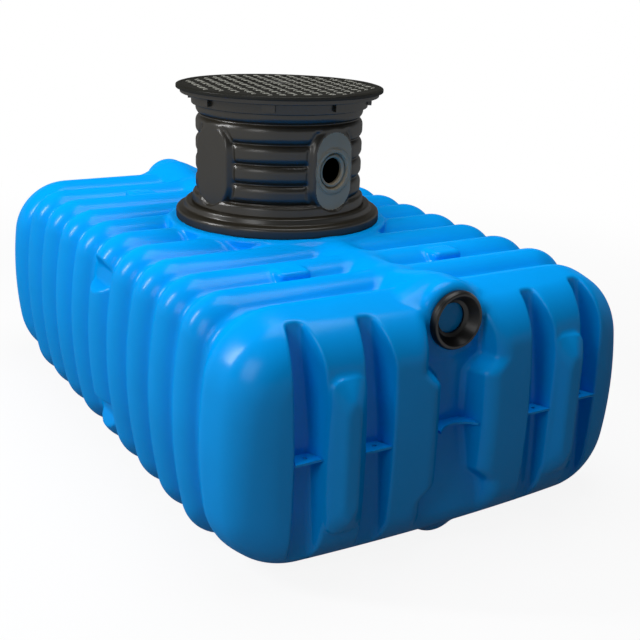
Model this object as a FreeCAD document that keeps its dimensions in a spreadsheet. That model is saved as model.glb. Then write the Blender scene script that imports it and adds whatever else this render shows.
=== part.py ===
import FreeCAD
import Part
import Sketcher
import os
from math import atan2, sqrt

# Underground rainwater tank: a flat ribbed plastic tank that lies along Y, with a pipe seal in each end,
# and a ribbed access neck with a round lid in the middle of its roof. Z is up, the floor is at Z = 0.
SIZES = {
    "body_length": 2530,
    "body_width": 1580,
    "body_height": 835,
    "side_radius": 1500,
    "corner_radius": 175,
    "end_radius": 95,
    "end_bow": 4500,
    "cap_strip": 35,
    "cap_draft": 72,
    "cap_corner": 205,
    "wall": 10,
    "rib_pitch": 202,
    "valley_count": 10,
    "rib_depth": 44,
    "valley_radius": 38,
    "groove_inner_x": 318,
    "groove_outer_x": 548,
    "groove_mouth": 100,
    "groove_floor": 46,
    "groove_depth": 62,
    "groove_lean": 0.166,
    "pilaster_width": 128,
    "pilaster_height": 588,
    "pilaster_front_height": 464,
    "pilaster_rise": 34,
    "recess_depth": 105,
    "recess_width": 262,
    "channel_width": 150,
    "channel_height": 350,
    "channel_shoulder": 40,
    "channel_web_bite": 37,
    "channel_web_setback": 30,
    "web_thickness": 8,
    "web_setback": 4,
    "web_hole": 14,
    "pipe_height": 763,
    "dome_radius": 119,
    "dome_foot": 645,
    "dome_length": 330,
    "dome_crest": 3,
    "foot_length": 98,
    "foot_rounding": 30,
    "seal_hole": 75,
    "seal_radius": 94,
    "seal_lip": 55,
    "seal_mouth": 68,
    "seal_length": 28,
    "seal_tail": 16,
    "seal_fit": 0.3,
    "platform_radius": 430,
    "platform_rise": 10,
    "manway_radius": 300,
    "flange_radius": 403,
    "flange_height": 39,
    "flange_step_radius": 368,
    "flange_step_height": 26,
    "flange_top_radius": 338,
    "flange_top_height": 41,
    "flange_edge": 12,
    "neck_radius": 325,
    "neck_turn": 10,
    "neck_rib_pitch": 74,
    "neck_rib_count": 5,
    "neck_rib_depth": 10,
    "neck_valley_radius": 16,
    "neck_wall": 10,
    "pad_width": 168,
    "pad_height": 296,
    "pad_face": 319,
    "pad_corner": 80,
    "pad_foot": 45,
    "pad_level": 119,
    "collar_radius": 384,
    "collar_height": 25,
    "collar_lip": 19,
    "lid_radius": 400,
    "lid_thickness": 16,
    "lid_edge": 4,
    "lug_count": 8,
    "lug_width": 46,
    "lug_depth": 30,
    "lug_height": 30,
    "lug_gap": 1,
    "boss_length": 128,
    "boss_x": 316,
    "boss_valley": 3.5,
    "boss_drop": 5,
}

# Values that follow from the sizes above: the side wall's half angle, the circles of a rib, and levels.
DERIVED = {
    "side_lean": "asin((body_height / 2 - corner_radius) / (side_radius - corner_radius))",
    "corner_x": "body_width / 2 - side_radius + (side_radius - corner_radius) * cos(side_lean)",
    "cap_lean": "asin((body_height / 2 - cap_draft - cap_corner) / (side_radius - cap_draft - cap_corner))",
    "cap_corner_x": "body_width / 2 - side_radius + (side_radius - cap_draft - cap_corner) * cos(cap_lean)",
    "rib_circles": "(rib_pitch ^ 2 / 4 + rib_depth ^ 2) / (2 * rib_depth)",
    "crown_radius": "rib_circles - valley_radius",
    "ribbed_length": "rib_pitch * valley_count",
    "cap_length": "(body_length - ribbed_length) / 2",
    "parting": "body_height / 2",
    "face_y": "-body_length / 2",
    "edge_y": "face_y + end_bow - sqrt(end_bow ^ 2 - body_width ^ 2 / 4)",
    "inner_y": "face_y + end_bow - sqrt(end_bow ^ 2 - groove_inner_x ^ 2)",
    "outer_y": "face_y + end_bow - sqrt(end_bow ^ 2 - groove_outer_x ^ 2)",
    "pilaster_x": "(groove_inner_x + groove_outer_x) / 2",
    "pilaster_y": "face_y + end_bow - sqrt(end_bow ^ 2 - pilaster_x ^ 2)",
    "seal_y": "face_y + recess_depth",
    "platform_top": "body_height + platform_rise",
    "valley_inside": "body_height - rib_depth - wall",
    "groove_slope": "(groove_mouth - groove_floor) / 2 / groove_depth",
    "groove_skin": "wall * sqrt(1 + groove_slope ^ 2)",
    "flange_step": "platform_top + flange_height + flange_step_height",
    "flange_top": "flange_step + flange_top_height",
    "neck_circles": "(neck_rib_pitch ^ 2 / 4 + neck_rib_depth ^ 2) / (2 * neck_rib_depth)",
    "neck_crown_radius": "neck_circles - neck_valley_radius",
    "pad_middle": "flange_top + pad_level",
    "neck_top": "flange_top + neck_rib_pitch * neck_rib_count",
    "shaft_radius": "neck_radius - neck_rib_depth - neck_wall",
    "lid_seat": "neck_top + collar_height",
}

doc = FreeCAD.newDocument("rainwater_tank")
sheet = doc.addObject("Spreadsheet::Sheet", "Sizes")
cells = [(name, str(value)) for name, value in SIZES.items()]
cells += [(name, "=" + formula) for name, formula in DERIVED.items()]
for row, (name, text) in enumerate(cells, start=1):
    sheet.set(f"A{row}", name)
    sheet.set(f"B{row}", text)
    sheet.setAlias(f"B{row}", name)
doc.recompute()

ORIGIN_POINT = (-1, 1)
VERTICAL_AXIS = -2
HORIZONTAL_AXIS = -1
subparts = []


def number(expression):
    """The value of an expression over the sheet."""
    return float(getattr(sheet.evalExpression(expression), "Value", sheet.evalExpression(expression)))


def bind(thing, expressions):
    """Tie properties of an object to the sheet."""
    for name, expression in expressions.items():
        thing.setExpression(name, expression)


def place(thing, x="0", y="0", z="0"):
    """Tie an object's position to the sheet."""
    bind(thing, {"Placement.Base.x": x, "Placement.Base.y": y, "Placement.Base.z": z})


def turn(thing, axis, degrees):
    """Turn an object about an axis through its own origin, by a sheet expression."""
    thing.Placement = FreeCAD.Placement(thing.Placement.Base, FreeCAD.Rotation(FreeCAD.Vector(axis), 1))
    thing.setExpression("Placement.Rotation.Angle", degrees)


def keep(thing, label):
    """Count an object as a piece of the tank, under its name."""
    thing.Label = label
    subparts.append(thing)
    return thing


def new_body(name):
    return doc.addObject("PartDesign::Body", name)


def new_sketch(body, role, name):
    """A sketch on one of the body's own planes: XY_Plane, XZ_Plane or YZ_Plane."""
    sketch = body.newObject("Sketcher::SketchObject", name)
    plane = [item for item in body.Origin.OriginFeatures if item.Role == role][0]
    sketch.AttachmentSupport = (plane, [""])
    sketch.MapMode = "FlatFace"
    return sketch


def pin(sketch, geometry, position, x, y):
    """Hold a sketch point at two sheet expressions."""
    for axis, kind, expression in ((VERTICAL_AXIS, "DistanceX", x), (HORIZONTAL_AXIS, "DistanceY", y)):
        if expression == "0":
            sketch.addConstraint(Sketcher.Constraint("PointOnObject", geometry, position, axis))
        else:
            datum = number(expression)
            index = sketch.addConstraint(
                Sketcher.Constraint(kind, *ORIGIN_POINT, geometry, position, datum))
            sketch.setExpression(f"Constraints[{index}]", expression)


def draw_outline(sketch, path):
    """A closed outline of corners (x, y), with ("arc", radius, side) where two corners join by an arc.

    The side is +1 where the arc's centre lies left of the way it is drawn, and -1 where it lies right."""
    corners = [step for step in path if step[0] != "arc"]
    points = [FreeCAD.Vector(number(x), number(y), 0) for x, y in corners]
    arcs = {}
    corner = -1
    for step in path:
        if step[0] == "arc":
            arcs[corner] = step
        else:
            corner += 1
    ends = []
    for index, start in enumerate(points):
        end = points[(index + 1) % len(points)]
        if index not in arcs:
            geometry = sketch.addGeometry(Part.LineSegment(start, end))
            ends.append((geometry, 1, 2))
            continue
        radius = number(arcs[index][1])
        side = arcs[index][2]
        chord = end - start
        across = FreeCAD.Vector(-chord.y, chord.x, 0).normalize() * side
        centre = (start + end) * 0.5 + across * sqrt(max(radius ** 2 - chord.Length ** 2 / 4, 0))
        angles = [atan2(point.y - centre.y, point.x - centre.x) for point in (start, end)]
        circle = Part.Circle(centre, FreeCAD.Vector(0, 0, 1), radius)
        if side > 0:
            geometry = sketch.addGeometry(Part.ArcOfCircle(circle, angles[0], angles[1]))
            ends.append((geometry, 1, 2))
        else:
            geometry = sketch.addGeometry(Part.ArcOfCircle(circle, angles[1], angles[0]))
            ends.append((geometry, 2, 1))
    for index, (geometry, start, end) in enumerate(ends):
        following = ends[(index + 1) % len(ends)]
        sketch.addConstraint(Sketcher.Constraint("Coincident", geometry, end, following[0], following[1]))
        pin(sketch, geometry, start, *corners[index])
        if index in arcs:
            row = sketch.addConstraint(
                Sketcher.Constraint("Radius", geometry, number(arcs[index][1])))
            sketch.setExpression(f"Constraints[{row}]", arcs[index][1])


def add_feature(body, kind, name, sketch, expressions, **settings):
    feature = body.newObject("PartDesign::" + kind, name)
    feature.Profile = sketch
    for key, value in settings.items():
        setattr(feature, key, value)
    bind(feature, expressions)
    body.Tip = feature
    doc.recompute()
    return feature


def primitive(kind, name, expressions):
    solid = doc.addObject("Part::" + kind, name)
    bind(solid, expressions)
    return solid


def box(name, x0, x1, y0, y1, z0, z1):
    """A box between sheet expressions."""
    solid = primitive("Box", name, {
        "Length": f"({x1}) - ({x0})", "Width": f"({y1}) - ({y0})", "Height": f"({z1}) - ({z0})"})
    place(solid, x0, y0, z0)
    return solid


def upright_cylinder(name, radius, z0, z1):
    solid = primitive("Cylinder", name, {"Radius": radius, "Height": f"({z1}) - ({z0})"})
    place(solid, z=z0)
    return solid


def cut(name, base, tool):
    result = doc.addObject("Part::Cut", name)
    result.Base = base
    result.Tool = tool
    return result


def fuse(name, solids):
    result = doc.addObject("Part::MultiFuse", name)
    result.Shapes = solids
    return result


def mirror(source, label, normal, height="0"):
    """The same piece on the other side of a plane through the origin, or through a level."""
    image = doc.addObject("Part::Mirroring", label)
    image.Source = source
    image.Normal = FreeCAD.Vector(normal)
    image.setExpression("Base.z", height)
    return keep(image, label)


ACROSS = (1, 0, 0)
ALONG = (0, 1, 0)
UPRIGHT = (0, 0, 1)


# Ribbed wall: one valley with half a crown on each side, drawn from circles that touch, is turned or run out
# to a panel and repeated along the tank. The sketch's X points out of the tank and its Y runs along it.
def rib_sketch(body, crown, pitch, depth, circles, valley, thickness, plane="XY_Plane"):
    sketch = new_sketch(body, plane, body.Name + "_rib")
    crown_circle = f"({circles} - {valley})"
    flank = f"{crown_circle} / {circles}"
    inner_circle = f"({crown_circle} - {thickness})"
    inner_flank = f"{inner_circle} / {circles}"
    drop = f"{crown} - {crown_circle} * {depth} / {circles}"
    inner_drop = f"{crown} - {crown_circle} + {inner_circle} * ({circles} - {depth}) / {circles}"
    draw_outline(sketch, [
        (crown, f"-{pitch} / 2"), ("arc", crown_circle, 1),
        (drop, f"-{pitch} / 2 * (1 - {flank})"), ("arc", valley, -1),
        (drop, f"{pitch} / 2 * (1 - {flank})"), ("arc", crown_circle, 1),
        (crown, f"{pitch} / 2"),
        (f"{crown} - {thickness}", f"{pitch} / 2"), ("arc", inner_circle, -1),
        (inner_drop, f"{pitch} / 2 * (1 - {inner_flank})"), ("arc", f"{valley} + {thickness}", 1),
        (inner_drop, f"-{pitch} / 2 * (1 - {inner_flank})"), ("arc", inner_circle, -1),
        (f"{crown} - {thickness}", f"-{pitch} / 2"),
    ])
    return sketch


def tank_rib(body, crown):
    return rib_sketch(body, crown, "Sizes.rib_pitch", "Sizes.rib_depth", "Sizes.rib_circles",
                      "Sizes.valley_radius", "Sizes.wall")


def repeat(body, feature, sketch, axis, length, count):
    pattern = body.newObject("PartDesign::LinearPattern", body.Name + "_ribs")
    pattern.Originals = [feature]
    pattern.Direction = (sketch, [axis])
    bind(pattern, {"Length": length, "Occurrences": count})
    body.Tip = pattern
    doc.recompute()


def curved_wall(label, radius, angle, tilt, x, z):
    body = new_body(label)
    sketch = tank_rib(body, radius)
    swept = add_feature(body, "Revolution", label + "_sweep", sketch, {"Angle": angle},
                        ReferenceAxis=(sketch, ["V_Axis"]), Midplane=True)
    repeat(body, swept, sketch, "V_Axis", "Sizes.ribbed_length - Sizes.rib_pitch", "Sizes.valley_count")
    turn(body, (0, -1, 0), tilt)
    place(body, x, "(Sizes.rib_pitch - Sizes.ribbed_length) / 2", z)
    return keep(body, label)


right_wall = curved_wall("right_wall", "Sizes.side_radius", "2 * Sizes.side_lean", "0 deg",
                         "Sizes.body_width / 2 - Sizes.side_radius", "Sizes.parting")
mirror(right_wall, "left_wall", ACROSS)
upper_right = curved_wall("upper_right_corner", "Sizes.corner_radius", "90 deg - Sizes.side_lean",
                          "45 deg + Sizes.side_lean / 2", "Sizes.corner_x",
                          "Sizes.body_height - Sizes.corner_radius")
mirror(upper_right, "upper_left_corner", ACROSS)
lower_right = mirror(upper_right, "lower_right_corner", UPRIGHT, "Sizes.parting")
mirror(lower_right, "lower_left_corner", ACROSS)


# Floor and roof: the same ribs run straight across the tank. The roof is four quarters, cut back round
# the neck's platform and the domes over the pipes.
def flat_wall(label, length, midplane, count, tilt, y, z):
    body = new_body(label)
    sketch = tank_rib(body, "Sizes.wall")
    run = add_feature(body, "Pad", label + "_run", sketch, {"Length": length}, Midplane=midplane)
    repeat(body, run, sketch, "V_Axis", f"Sizes.rib_pitch * ({count} - 1)", count)
    turn(body, (0, tilt, 0), "90 deg")
    place(body, "0", y, z)
    return body


keep(flat_wall("floor", "2 * Sizes.corner_x", True, "Sizes.valley_count", 1,
               "(Sizes.rib_pitch - Sizes.ribbed_length) / 2", "Sizes.wall"), "floor")


# Dome and spine over each pipe: an arched hood, highest at the end of the tank, that falls to the roof's
# level and runs on to the neck. Its front wall holds the pipe seal.
def arch(sketch, inset, spring, top_radius):
    half = f"(Sizes.dome_radius - {inset})"
    top_radius = f"({top_radius})"
    draw_outline(sketch, [
        (f"-{half}", "Sizes.dome_foot"), (half, "Sizes.dome_foot"), (half, spring),
        ("arc", top_radius, 1), ("0", f"{spring} + {top_radius} - sqrt({top_radius} ^ 2 - {half} ^ 2)"),
        ("arc", top_radius, 1), (f"-{half}", spring),
    ])


def spine_solid(name, inset):
    body = new_body(name)
    high = new_sketch(body, "XZ_Plane", name + "_high")
    high.setExpression("AttachmentOffset.Base.z", f"-(Sizes.seal_y + {inset})")
    arch(high, inset, "Sizes.pipe_height", f"Sizes.dome_radius - {inset}")
    low = new_sketch(body, "XZ_Plane", name + "_low")
    low.setExpression("AttachmentOffset.Base.z", "-(Sizes.seal_y + Sizes.dome_length)")
    crest_radius = f"((Sizes.dome_radius - {inset}) ^ 2 + Sizes.dome_crest ^ 2) / (2 * Sizes.dome_crest)"
    arch(low, inset, f"Sizes.body_height - {inset}", crest_radius)
    doc.recompute()
    add_feature(body, "AdditiveLoft", name + "_dome", high, {}, Sections=[low])
    add_feature(body, "Pad", name + "_spine", low, {"Length": "-(Sizes.seal_y + Sizes.dome_length)"},
                Reversed=True)
    return body


spine_outside = spine_solid("spine_outside", "0")
spine_inside = spine_solid("spine_inside", "Sizes.wall")
spine_shell = cut("spine_shell", spine_outside, spine_inside)
spine_underside = box("spine_underside", "-Sizes.dome_radius", "Sizes.dome_radius",
                      "Sizes.seal_y + Sizes.wall", "0", "Sizes.dome_foot", "Sizes.valley_inside")
platform_blank = upright_cylinder("platform_blank", "Sizes.platform_radius",
                                  "Sizes.dome_foot", "Sizes.platform_top")
seal_bore = primitive("Cylinder", "seal_bore", {"Radius": "Sizes.seal_hole", "Height": "3 * Sizes.wall"})
turn(seal_bore, (-1, 0, 0), "90 deg")
place(seal_bore, "0", "Sizes.seal_y - Sizes.wall", "Sizes.pipe_height")
spine_openings = fuse("spine_openings", [spine_underside, platform_blank, seal_bore])
front_dome = keep(cut("front_pipe_dome", spine_shell, spine_openings), "front_pipe_dome")
mirror(front_dome, "back_pipe_dome", ALONG)

roof_ribs = flat_wall("roof_ribs", "Sizes.corner_x", False, "(Sizes.valley_count / 2)", -1,
                      "(Sizes.rib_pitch - Sizes.ribbed_length) / 2", "Sizes.body_height - Sizes.wall")
roof_opening = fuse("roof_opening", [platform_blank, spine_outside])
roof_front_left = keep(cut("roof_front_left", roof_ribs, roof_opening), "roof_front_left")
roof_front_right = mirror(roof_front_left, "roof_front_right", ACROSS)
mirror(roof_front_left, "roof_back_left", ALONG)
mirror(roof_front_right, "roof_back_right", ALONG)


# Turned pieces: a half section drawn beside the Z axis and turned all the way round.
def turned(label, path):
    body = new_body(label)
    sketch = new_sketch(body, "XZ_Plane", label + "_section")
    draw_outline(sketch, path)
    add_feature(body, "Revolution", label + "_turn", sketch, {"Angle": "360 deg"},
                ReferenceAxis=(sketch, ["V_Axis"]))
    return keep(body, label)


# Platform under the neck: a round tray that closes the ends of the ribs, with the manway through it.
turned("neck_platform", [
    ("Sizes.manway_radius", "Sizes.platform_top - Sizes.wall"),
    ("Sizes.platform_radius - Sizes.wall", "Sizes.platform_top - Sizes.wall"),
    ("Sizes.platform_radius - Sizes.wall", "Sizes.valley_inside"),
    ("Sizes.platform_radius", "Sizes.valley_inside"),
    ("Sizes.platform_radius", "Sizes.platform_top"),
    ("Sizes.manway_radius", "Sizes.platform_top"),
])


# Bosses on the roof: each fills a short length of a valley, two in front of the neck and two behind it.
def roof_boss(name, x_sign, y_sign):
    body = new_body(name)
    sketch = new_sketch(body, "YZ_Plane", name + "_section")
    reach = "(Sizes.rib_pitch / 2 * Sizes.valley_radius / Sizes.rib_circles)"
    rise = "(Sizes.body_height - Sizes.crown_radius * Sizes.rib_depth / Sizes.rib_circles)"
    top = "Sizes.body_height - Sizes.boss_drop"
    draw_outline(sketch, [
        (f"-{reach}", rise), ("arc", "Sizes.valley_radius", 1), (reach, rise),
        (reach, top), (f"-{reach}", top)])
    add_feature(body, "Pad", name + "_run", sketch, {"Length": "Sizes.boss_length"}, Midplane=True)
    place(body, f"{x_sign} * Sizes.boss_x", f"{y_sign} * Sizes.rib_pitch * Sizes.boss_valley", "0")
    return body


bosses = doc.addObject("Part::Compound", "roof_bosses")
bosses.Links = [roof_boss("boss_front_left", -1, -1), roof_boss("boss_front_right", 1, -1),
                roof_boss("boss_back_left", -1, 1), roof_boss("boss_back_right", 1, 1)]
keep(bosses, "roof_bosses")


# Ends: a dished cap with four tapered grooves down its face, a pilaster between each pair, and a recess
# round the pipe seal that runs on down as a channel. The grooves lean back to the top and the bottom, so
# that each mould half can be drawn off. Each form is made twice, for the outside and, set in by the wall,
# for the hollow.
def cap_section(body, name, y, inset, draft, corner, lean, corner_x):
    """The tank's outline across the length at y, drawn in all round by inset and draft."""
    sketch = new_sketch(body, "XZ_Plane", name)
    sketch.setExpression("AttachmentOffset.Base.z", f"-({y})")
    arc = f"{corner} - {inset}"
    side = f"(Sizes.side_radius - {draft} - {inset})"
    side_x = f"(Sizes.body_width / 2 - Sizes.side_radius + {side} * cos({lean}))"
    low = f"Sizes.parting - {side} * sin({lean})"
    high = f"Sizes.parting + {side} * sin({lean})"
    bottom = f"{draft} + {inset}"
    top = f"Sizes.body_height - {draft} - {inset}"
    draw_outline(sketch, [
        (f"-{corner_x}", bottom), (corner_x, bottom), ("arc", arc, 1),
        (side_x, low), ("arc", side, 1), (side_x, high), ("arc", arc, 1),
        (corner_x, top), (f"-{corner_x}", top), ("arc", arc, 1),
        (f"-{side_x}", high), ("arc", side, 1), (f"-{side_x}", low), ("arc", arc, 1),
    ])
    return sketch


def cap_solid(name, inset):
    body = new_body(name)
    full = ("0", "Sizes.corner_radius", "Sizes.side_lean", "Sizes.corner_x")
    drawn_in = ("Sizes.cap_draft", "Sizes.cap_corner", "Sizes.cap_lean", "Sizes.cap_corner_x")
    back = cap_section(body, name + "_back", "-Sizes.ribbed_length / 2", inset, *full)
    strip = cap_section(body, name + "_strip", "-Sizes.ribbed_length / 2 - Sizes.cap_strip", inset, *full)
    front = cap_section(body, name + "_front", "Sizes.face_y - Sizes.wall", inset, *drawn_in)
    add_feature(body, "AdditiveLoft", name + "_run", back, {}, Sections=[strip, front], Ruled=True)
    plan = new_sketch(body, "XY_Plane", name + "_plan")
    edge = "Sizes.body_width / 2"
    edge_y = f"Sizes.edge_y + {inset}"
    ahead = "Sizes.face_y - Sizes.end_radius"
    draw_outline(plan, [
        (f"-{edge}", edge_y), ("arc", "Sizes.end_bow", 1), (edge, edge_y),
        (edge, ahead), (f"-{edge}", ahead)])
    bowed = add_feature(body, "Pocket", name + "_bow", plan, {"Length": "2 * Sizes.body_height"},
                        Midplane=True)
    round_front(body, bowed, f"Sizes.end_radius - {inset}")
    return body


def round_front(body, feature, radius):
    """Round the edges of a body's foremost face."""
    faces = feature.Shape.Faces
    foremost = min(range(len(faces)), key=lambda index: faces[index].CenterOfMass.y)
    rounding = body.newObject("PartDesign::Fillet", body.Name + "_rounding")
    rounding.Base = (feature, [f"Face{foremost + 1}"])
    rounding.setExpression("Radius", radius)
    body.Tip = rounding
    doc.recompute()


GROOVES = (("-Sizes.groove_outer_x", "Sizes.outer_y"), ("-Sizes.groove_inner_x", "Sizes.inner_y"),
           ("Sizes.groove_inner_x", "Sizes.inner_y"), ("Sizes.groove_outer_x", "Sizes.outer_y"))


def groove_solid(name, inset, skin):
    body = new_body(name + "_upper")
    sketch = new_sketch(body, "XY_Plane", name + "_section")
    floor_half = f"(Sizes.groove_floor / 2 + {skin} - {inset} * Sizes.groove_slope)"
    mouth_half = f"(Sizes.groove_mouth / 2 + {skin} + Sizes.end_radius * Sizes.groove_slope)"
    for x, face in GROOVES:
        back = f"{face} + Sizes.groove_depth + {inset}"
        front = f"{face} - Sizes.end_radius"
        draw_outline(sketch, [(f"{x} - {mouth_half}", front), (f"{x} + {mouth_half}", front),
                              (f"{x} + {floor_half}", back), (f"{x} - {floor_half}", back)])
    add_feature(body, "Pad", name + "_run", sketch,
                {"Length": "Sizes.parting", "Direction.y": "Sizes.groove_lean"},
                UseCustomVector=True, Direction=FreeCAD.Vector(UPRIGHT), AlongSketchNormal=True)
    place(body, z="Sizes.parting")
    lower = doc.addObject("Part::Mirroring", name + "_lower")
    lower.Source = body
    lower.Normal = FreeCAD.Vector(UPRIGHT)
    lower.setExpression("Base.z", "Sizes.parting")
    return fuse(name, [body, lower])


def recess_solid(name, inset):
    body = new_body(name)
    sketch = new_sketch(body, "XZ_Plane", name + "_section")
    sketch.setExpression("AttachmentOffset.Base.z", f"-(Sizes.seal_y + {inset})")
    wide = f"(Sizes.recess_width / 2 + {inset})"
    narrow = f"(Sizes.channel_width / 2 + {inset})"
    half = "Sizes.channel_height / 2"
    levels = [(wide, "-Sizes.wall"), (wide, f"Sizes.parting - {half} - Sizes.channel_shoulder"),
              (narrow, f"Sizes.parting - {half}"), (narrow, f"Sizes.parting + {half}"),
              (wide, f"Sizes.parting + {half} + Sizes.channel_shoulder"), (wide, "Sizes.body_height")]
    draw_outline(sketch, levels + [(f"-{x}", z) for x, z in reversed(levels)])
    add_feature(body, "Pad", name + "_run", sketch, {"Length": f"Sizes.recess_depth + Sizes.wall + {inset}"})
    return body


def pilaster_solid(name, inset):
    body = new_body(name)
    rise = f"(Sizes.pilaster_front_height / 2 - {inset})"
    foot = f"(Sizes.pilaster_height / 2 - {inset})"
    front = f"Sizes.pilaster_y - Sizes.pilaster_rise + {inset}"
    back = "Sizes.pilaster_y + Sizes.groove_depth"
    for side, hand in (("left", -1), ("right", 1)):
        sketch = new_sketch(body, "YZ_Plane", f"{name}_{side}")
        sketch.setExpression("AttachmentOffset.Base.z", f"{hand} * Sizes.pilaster_x")
        draw_outline(sketch, [
            (back, f"Sizes.parting - {foot}"), (back, f"Sizes.parting + {foot}"),
            (f"Sizes.pilaster_y + {inset}", f"Sizes.parting + {foot}"), (front, f"Sizes.parting + {rise}"),
            (front, f"Sizes.parting - {rise}"), (f"Sizes.pilaster_y + {inset}", f"Sizes.parting - {foot}")])
        add_feature(body, "Pad", f"{name}_{side}_run", sketch,
                    {"Length": f"Sizes.pilaster_width - 2 * {inset}"}, Midplane=True)
    return body


def end_form(name, inset, skin):
    cuts = fuse(name + "_cuts", [groove_solid(name + "_grooves", inset, skin),
                                 recess_solid(name + "_recess", inset)])
    face = cut(name + "_face", cap_solid(name + "_cap", inset), cuts)
    return fuse(name, [face, pilaster_solid(name + "_pilasters", inset)])


end_outside = end_form("end_outside", "0", "0")
end_inside = end_form("end_inside", "Sizes.wall", "Sizes.groove_skin")
end_shell = cut("end_shell", end_outside, end_inside)
front_end = keep(cut("front_end", end_shell, spine_outside), "front_end")
mirror(front_end, "back_end", ALONG)

# Foot under each end: a rounded toe as wide as the dome that keeps the floor's level out to the recess.
foot_blank = new_body("foot_blank")
foot_sketch = new_sketch(foot_blank, "XZ_Plane", "foot_section")
foot_sketch.setExpression("AttachmentOffset.Base.z", "-Sizes.seal_y")
draw_outline(foot_sketch, [
    ("-Sizes.dome_radius", "Sizes.dome_radius"), ("arc", "Sizes.dome_radius", 1), ("0", "0"),
    ("arc", "Sizes.dome_radius", 1), ("Sizes.dome_radius", "Sizes.dome_radius")])
foot_run = add_feature(foot_blank, "Pad", "foot_run", foot_sketch, {"Length": "Sizes.foot_length"},
                       Reversed=True)
round_front(foot_blank, foot_run, "Sizes.foot_rounding")
front_foot = keep(cut("front_foot", foot_blank, end_outside), "front_foot")
mirror(front_foot, "back_foot", ALONG)


# Webs: thin shelves across the grooves and the channel, at the level where the mould halves part.
def groove_web(name, x, face):
    body = new_body(name)
    sketch = new_sketch(body, "XY_Plane", name + "_section")
    back = f"{face} + Sizes.groove_depth"
    front = f"{face} + Sizes.web_setback"
    front_half = "(Sizes.groove_mouth / 2 - Sizes.web_setback * Sizes.groove_slope)"
    back_half = "Sizes.groove_floor / 2"
    draw_outline(sketch, [(f"{x} - {front_half}", front), (f"{x} + {front_half}", front),
                          (f"{x} + {back_half}", back), (f"{x} - {back_half}", back)])
    hole = sketch.addGeometry(Part.Circle(FreeCAD.Vector(number(x), number(f"({back} + {front}) / 2"), 0),
                                          FreeCAD.Vector(UPRIGHT), number("Sizes.web_hole / 2")))
    pin(sketch, hole, 3, x, f"({back} + {front}) / 2")
    row = sketch.addConstraint(Sketcher.Constraint("Radius", hole, number("Sizes.web_hole / 2")))
    sketch.setExpression(f"Constraints[{row}]", "Sizes.web_hole / 2")
    add_feature(body, "Pad", name + "_run", sketch, {"Length": "Sizes.web_thickness"}, Midplane=True)
    place(body, z="Sizes.parting")
    return body


channel_web = new_body("channel_web")
channel_sketch = new_sketch(channel_web, "XY_Plane", "channel_web_section")
web_half = "(Sizes.channel_width / 2)"
web_front = "Sizes.face_y + Sizes.channel_web_setback"
draw_outline(channel_sketch, [
    (f"-{web_half}", "Sizes.seal_y"), (f"-{web_half}", web_front),
    ("arc", f"({web_half} ^ 2 + Sizes.channel_web_bite ^ 2) / (2 * Sizes.channel_web_bite)", -1),
    (web_half, web_front), (web_half, "Sizes.seal_y")])
add_feature(channel_web, "Pad", "channel_web_run", channel_sketch, {"Length": "Sizes.web_thickness"},
            Midplane=True)
place(channel_web, z="Sizes.parting")
webs = doc.addObject("Part::Compound", "front_webs")
webs.Links = [groove_web(f"groove_web_{index}", *groove) for index, groove in enumerate(GROOVES, start=1)]
webs.Links += [channel_web]
keep(webs, "front_webs")
mirror(webs, "back_webs", ALONG)


# Pipe seals: a thick rubber collar that sits on the wall, with a funnel mouth and a lip that grips the pipe.
def pipe_seal(label):
    body = new_body(label)
    sketch = new_sketch(body, "XZ_Plane", label + "_section")
    sleeve = "Sizes.seal_hole - Sizes.seal_fit"
    tail = "-(Sizes.wall + Sizes.seal_tail)"
    draw_outline(sketch, [
        ("Sizes.seal_mouth", "Sizes.seal_length"), ("Sizes.seal_lip", "0"), ("Sizes.seal_lip", tail),
        ("(Sizes.seal_lip + Sizes.seal_hole) / 2", tail), (sleeve, "-Sizes.wall"), (sleeve, "0"),
        ("Sizes.seal_radius", "0"), ("Sizes.seal_radius", "Sizes.seal_length / 2"),
        ("(Sizes.seal_mouth + Sizes.seal_radius) / 2", "Sizes.seal_length")])
    add_feature(body, "Revolution", label + "_turn", sketch, {"Angle": "360 deg"},
                ReferenceAxis=(sketch, ["V_Axis"]))
    return body


front_seal = keep(pipe_seal("front_seal"), "front_seal")
turn(front_seal, ACROSS, "90 deg")
place(front_seal, "0", "Sizes.seal_y", "Sizes.pipe_height")
mirror(front_seal, "back_seal", ALONG)

# Neck: a stepped flange on the platform, a ribbed wall in four quarters that each carry a flat pad,
# and a collar under the lid. It stands a little turned on the tank. The front pad holds a pipe seal.
turned("neck_flange", [
    ("Sizes.shaft_radius", "Sizes.platform_top"), ("Sizes.flange_radius", "Sizes.platform_top"),
    ("Sizes.flange_radius", "Sizes.platform_top + Sizes.flange_height - Sizes.flange_edge"),
    ("arc", "Sizes.flange_edge", 1),
    ("Sizes.flange_radius - Sizes.flange_edge", "Sizes.platform_top + Sizes.flange_height"),
    ("Sizes.flange_step_radius", "Sizes.platform_top + Sizes.flange_height"),
    ("Sizes.flange_step_radius", "Sizes.flange_step - Sizes.flange_edge"), ("arc", "Sizes.flange_edge", 1),
    ("Sizes.flange_step_radius - Sizes.flange_edge", "Sizes.flange_step"),
    ("Sizes.flange_top_radius", "Sizes.flange_step"),
    ("Sizes.flange_top_radius", "Sizes.flange_top - Sizes.flange_edge"), ("arc", "Sizes.flange_edge", 1),
    ("Sizes.flange_top_radius - Sizes.flange_edge", "Sizes.flange_top"),
    ("Sizes.shaft_radius", "Sizes.flange_top"),
])


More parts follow.
